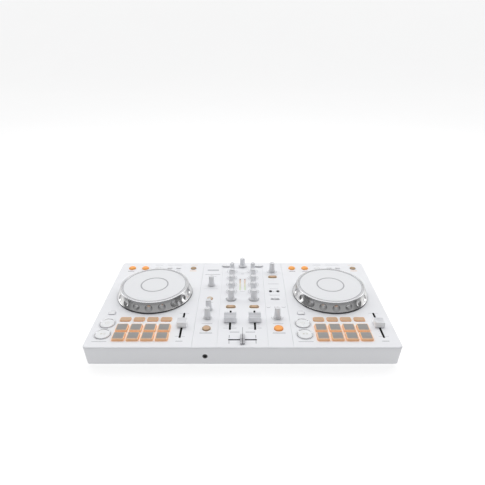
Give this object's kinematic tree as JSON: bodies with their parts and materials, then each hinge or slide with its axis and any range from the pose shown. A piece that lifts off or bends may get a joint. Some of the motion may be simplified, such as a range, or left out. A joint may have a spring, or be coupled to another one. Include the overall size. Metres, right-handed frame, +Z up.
{
  "type": "dj controller",
  "caption": "Low white DJ controller: two jog wheels, a mixer with knobs and faders between them, lit pads and keys, and sockets at front and rear.",
  "frame": {"origin": "middle of the footprint on the table, under the rubber feet", "axes": "+X to the right deck, +Y to the rear sockets, +Z up out of the top plate"},
  "size_m": [0.482, 0.2724, 0.0593],
  "materials": {
    "white_shell": "fine satin moulded",
    "base_shell": "satin moulded",
    "feet_rubber": "matte",
    "screw_steel": "zinc plated",
    "board_green": "solder mask",
    "part_steel": "stamped",
    "socket_black": "moulded",
    "socket_metal": "nickel plated",
    "meter_light": "lit diffuser",
    "jog_metallic": "dark plated",
    "jog_top": "satin",
    "knob_grey": "soft touch",
    "cap_light": "satin",
    "cap_grey": "satin",
    "cap_dark": "satin",
    "key_white": "gloss",
    "key_lit_orange": "lit translucent",
    "key_lit_tan": "lit translucent",
    "key_dark": "matte",
    "pad_silicone": "lit translucent"
  },
  "bodies": {
    "case": {"top_case": "white_shell", "bottom_case": "base_shell", "rubber_feet": "feet_rubber", "case_screws": "screw_steel", "circuit_boards": "board_green", "pot_bodies": "part_steel", "fader_bodies": "part_steel", "jog_spindles": "part_steel", "rca_jacks": "socket_black", "usb_port": "socket_metal", "mic_jack": "socket_black", "phones_jack": "socket_black", "level_meter": "meter_light"},
    "jog_left": {"jog_wheel_left": "jog_metallic", "jog_disc_left": "jog_top"},
    "jog_right": {"jog_wheel_right": "jog_metallic", "jog_disc_right": "jog_top"},
    "ch1_trim": {"ch1_trim_knob": "knob_grey"},
    "ch1_high": {"ch1_high_knob": "knob_grey"},
    "ch1_mid": {"ch1_mid_knob": "knob_grey"},
    "ch1_low": {"ch1_low_knob": "knob_grey"},
    "ch1_filter": {"ch1_filter_knob": "knob_grey"},
    "ch2_trim": {"ch2_trim_knob": "knob_grey"},
    "ch2_high": {"ch2_high_knob": "knob_grey"},
    "ch2_mid": {"ch2_mid_knob": "knob_grey"},
    "ch2_low": {"ch2_low_knob": "knob_grey"},
    "ch2_filter": {"ch2_filter_knob": "knob_grey"},
    "master_level": {"master_level_knob": "knob_grey"},
    "phones_mix": {"phones_mix_knob": "knob_grey"},
    "phones_level": {"phones_level_knob": "knob_grey"},
    "mic_level": {"mic_level_knob": "knob_grey"},
    "fx_level": {"fx_level_knob": "knob_grey"},
    "browse": {"browse_knob": "knob_grey"},
    "ch1_fader": {"ch1_fader": "cap_grey"},
    "ch2_fader": {"ch2_fader": "cap_grey"},
    "tempo_slider_left": {"tempo_slider_left": "cap_light"},
    "tempo_slider_right": {"tempo_slider_right": "cap_light"},
    "crossfader": {"crossfader": "cap_dark"},
    "fx_channel_switch": {"fx_channel_switch": "cap_light"},
    "play_button_left": {"play_button_left": "key_white"},
    "cue_button_left": {"cue_button_left": "key_white"},
    "shift_button_left": {"shift_button_left": "key_white"},
    "load_button_left": {"load_button_left": "cap_light"},
    "play_button_right": {"play_button_right": "key_white"},
    "cue_button_right": {"cue_button_right": "key_white"},
    "shift_button_right": {"shift_button_right": "key_white"},
    "load_button_right": {"load_button_right": "cap_light"},
    "ch1_cue_button": {"ch1_cue_button": "key_lit_tan"},
    "ch2_cue_button": {"ch2_cue_button": "key_lit_tan"},
    "fx_select_button": {"fx_select_button": "key_lit_tan"},
    "beat_buttons": {"beat_buttons": "key_dark"},
    "fx_on_button": {"fx_on_button": "key_lit_orange"},
    "master_cue_button": {"master_cue_button": "key_lit_tan"},
    "smart_fader_button": {"smart_fader_button": "key_lit_tan"},
    "pads_left": {"pads_left": "pad_silicone"},
    "mode_buttons_left": {"mode_buttons_left": "key_lit_tan"},
    "loop_buttons_left": {"loop_buttons_left": "key_lit_orange"},
    "pads_right": {"pads_right": "pad_silicone"},
    "mode_buttons_right": {"mode_buttons_right": "key_lit_tan"},
    "loop_buttons_right": {"loop_buttons_right": "key_lit_orange"}
  },
  "joints": [
    {"name": "jog_left_spin", "type": "hinge", "parent": "case", "child": "jog_left", "pos_m": [-0.1565, 0.0183, 0.045], "axis": [0, 0, 1], "continuous": true},
    {"name": "jog_right_spin", "type": "hinge", "parent": "case", "child": "jog_right", "pos_m": [0.1565, 0.0183, 0.045], "axis": [0, 0, 1], "continuous": true},
    {"name": "ch1_trim_turn", "type": "hinge", "parent": "case", "child": "ch1_trim", "pos_m": [-0.02, 0.0998, 0.045], "axis": [0, 0, 1], "range_deg": [-150, 150]},
    {"name": "ch1_high_turn", "type": "hinge", "parent": "case", "child": "ch1_high", "pos_m": [-0.02, 0.0748, 0.045], "axis": [0, 0, 1], "range_deg": [-150, 150]},
    {"name": "ch1_mid_turn", "type": "hinge", "parent": "case", "child": "ch1_mid", "pos_m": [-0.02, 0.0498, 0.045], "axis": [0, 0, 1], "range_deg": [-150, 150]},
    {"name": "ch1_low_turn", "type": "hinge", "parent": "case", "child": "ch1_low", "pos_m": [-0.02, 0.0248, 0.045], "axis": [0, 0, 1], "range_deg": [-150, 150]},
    {"name": "ch1_filter_turn", "type": "hinge", "parent": "case", "child": "ch1_filter", "pos_m": [-0.02, -0.0002, 0.045], "axis": [0, 0, 1], "range_deg": [-150, 150]},
    {"name": "ch2_trim_turn", "type": "hinge", "parent": "case", "child": "ch2_trim", "pos_m": [0.02, 0.0998, 0.045], "axis": [0, 0, 1], "range_deg": [-150, 150]},
    {"name": "ch2_high_turn", "type": "hinge", "parent": "case", "child": "ch2_high", "pos_m": [0.02, 0.0748, 0.045], "axis": [0, 0, 1], "range_deg": [-150, 150]},
    {"name": "ch2_mid_turn", "type": "hinge", "parent": "case", "child": "ch2_mid", "pos_m": [0.02, 0.0498, 0.045], "axis": [0, 0, 1], "range_deg": [-150, 150]},
    {"name": "ch2_low_turn", "type": "hinge", "parent": "case", "child": "ch2_low", "pos_m": [0.02, 0.0248, 0.045], "axis": [0, 0, 1], "range_deg": [-150, 150]},
    {"name": "ch2_filter_turn", "type": "hinge", "parent": "case", "child": "ch2_filter", "pos_m": [0.02, -0.0002, 0.045], "axis": [0, 0, 1], "range_deg": [-150, 150]},
    {"name": "master_level_turn", "type": "hinge", "parent": "case", "child": "master_level", "pos_m": [-0.0574, 0.0474, 0.045], "axis": [0, 0, 1], "range_deg": [-150, 150]},
    {"name": "phones_mix_turn", "type": "hinge", "parent": "case", "child": "phones_mix", "pos_m": [-0.0574, -0.0326, 0.045], "axis": [0, 0, 1], "range_deg": [-150, 150]},
    {"name": "phones_level_turn", "type": "hinge", "parent": "case", "child": "phones_level", "pos_m": [-0.0574, -0.0576, 0.045], "axis": [0, 0, 1], "range_deg": [-150, 150]},
    {"name": "mic_level_turn", "type": "hinge", "parent": "case", "child": "mic_level", "pos_m": [0.0574, 0.0998, 0.045], "axis": [0, 0, 1], "range_deg": [-150, 150]},
    {"name": "fx_level_turn", "type": "hinge", "parent": "case", "child": "fx_level", "pos_m": [0.0574, -0.0576, 0.045], "axis": [0, 0, 1], "range_deg": [-150, 150]},
    {"name": "browse_turn", "type": "hinge", "parent": "case", "child": "browse", "pos_m": [0, 0.1208, 0.045], "axis": [0, 0, 1], "continuous": true},
    {"name": "ch1_fader_slide", "type": "slide", "parent": "case", "child": "ch1_fader", "axis": [0, 1, 0], "range_m": [-0.0225, 0.0225]},
    {"name": "ch2_fader_slide", "type": "slide", "parent": "case", "child": "ch2_fader", "axis": [0, 1, 0], "range_m": [-0.0225, 0.0225]},
    {"name": "tempo_slider_left_slide", "type": "slide", "parent": "case", "child": "tempo_slider_left", "axis": [0, 1, 0], "range_m": [-0.03, 0.03]},
    {"name": "tempo_slider_right_slide", "type": "slide", "parent": "case", "child": "tempo_slider_right", "axis": [0, 1, 0], "range_m": [-0.03, 0.03]},
    {"name": "crossfader_slide", "type": "slide", "parent": "case", "child": "crossfader", "axis": [1, 0, 0], "range_m": [-0.018, 0.018]},
    {"name": "fx_channel_switch_slide", "type": "slide", "parent": "case", "child": "fx_channel_switch", "axis": [1, 0, 0], "range_m": [-0.0042, 0.0042]},
    {"name": "play_button_left_press", "type": "slide", "parent": "case", "child": "play_button_left", "axis": [0, 0, 1], "range_m": [-0.0008, 0], "stiffness_N_per_m": 150, "springref_m": 0.003},
    {"name": "cue_button_left_press", "type": "slide", "parent": "case", "child": "cue_button_left", "axis": [0, 0, 1], "range_m": [-0.0008, 0], "stiffness_N_per_m": 150, "springref_m": 0.003},
    {"name": "shift_button_left_press", "type": "slide", "parent": "case", "child": "shift_button_left", "axis": [0, 0, 1], "range_m": [-0.0007, 0], "stiffness_N_per_m": 100, "springref_m": 0.003},
    {"name": "load_button_left_press", "type": "slide", "parent": "case", "child": "load_button_left", "axis": [0, 0, 1], "range_m": [-0.0007, 0], "stiffness_N_per_m": 100, "springref_m": 0.003},
    {"name": "play_button_right_press", "type": "slide", "parent": "case", "child": "play_button_right", "axis": [0, 0, 1], "range_m": [-0.0008, 0], "stiffness_N_per_m": 150, "springref_m": 0.003},
    {"name": "cue_button_right_press", "type": "slide", "parent": "case", "child": "cue_button_right", "axis": [0, 0, 1], "range_m": [-0.0008, 0], "stiffness_N_per_m": 150, "springref_m": 0.003},
    {"name": "shift_button_right_press", "type": "slide", "parent": "case", "child": "shift_button_right", "axis": [0, 0, 1], "range_m": [-0.0007, 0], "stiffness_N_per_m": 100, "springref_m": 0.003},
    {"name": "load_button_right_press", "type": "slide", "parent": "case", "child": "load_button_right", "axis": [0, 0, 1], "range_m": [-0.0007, 0], "stiffness_N_per_m": 100, "springref_m": 0.003},
    {"name": "ch1_cue_button_press", "type": "slide", "parent": "case", "child": "ch1_cue_button", "axis": [0, 0, 1], "range_m": [-0.0007, 0], "stiffness_N_per_m": 100, "springref_m": 0.003},
    {"name": "ch2_cue_button_press", "type": "slide", "parent": "case", "child": "ch2_cue_button", "axis": [0, 0, 1], "range_m": [-0.0007, 0], "stiffness_N_per_m": 100, "springref_m": 0.003},
    {"name": "fx_select_button_press", "type": "slide", "parent": "case", "child": "fx_select_button", "axis": [0, 0, 1], "range_m": [-0.0007, 0], "stiffness_N_per_m": 100, "springref_m": 0.003},
    {"name": "beat_buttons_press", "type": "slide", "parent": "case", "child": "beat_buttons", "axis": [0, 0, 1], "range_m": [-0.0006, 0], "stiffness_N_per_m": 100, "springref_m": 0.003},
    {"name": "fx_on_button_press", "type": "slide", "parent": "case", "child": "fx_on_button", "axis": [0, 0, 1], "range_m": [-0.0008, 0], "stiffness_N_per_m": 100, "springref_m": 0.003},
    {"name": "master_cue_button_press", "type": "slide", "parent": "case", "child": "master_cue_button", "axis": [0, 0, 1], "range_m": [-0.0007, 0], "stiffness_N_per_m": 100, "springref_m": 0.003},
    {"name": "smart_fader_button_press", "type": "slide", "parent": "case", "child": "smart_fader_button", "axis": [0, 0, 1], "range_m": [-0.0007, 0], "stiffness_N_per_m": 100, "springref_m": 0.003},
    {"name": "pads_left_press", "type": "slide", "parent": "case", "child": "pads_left", "axis": [0, 0, 1], "range_m": [-0.001, 0], "stiffness_N_per_m": 400, "springref_m": 0.003},
    {"name": "mode_buttons_left_press", "type": "slide", "parent": "case", "child": "mode_buttons_left", "axis": [0, 0, 1], "range_m": [-0.0007, 0], "stiffness_N_per_m": 200, "springref_m": 0.003},
    {"name": "loop_buttons_left_press", "type": "slide", "parent": "case", "child": "loop_buttons_left", "axis": [0, 0, 1], "range_m": [-0.0007, 0], "stiffness_N_per_m": 200, "springref_m": 0.003},
    {"name": "pads_right_press", "type": "slide", "parent": "case", "child": "pads_right", "axis": [0, 0, 1], "range_m": [-0.001, 0], "stiffness_N_per_m": 400, "springref_m": 0.003},
    {"name": "mode_buttons_right_press", "type": "slide", "parent": "case", "child": "mode_buttons_right", "axis": [0, 0, 1], "range_m": [-0.0007, 0], "stiffness_N_per_m": 200, "springref_m": 0.003},
    {"name": "loop_buttons_right_press", "type": "slide", "parent": "case", "child": "loop_buttons_right", "axis": [0, 0, 1], "range_m": [-0.0007, 0], "stiffness_N_per_m": 200, "springref_m": 0.003}
  ]
}
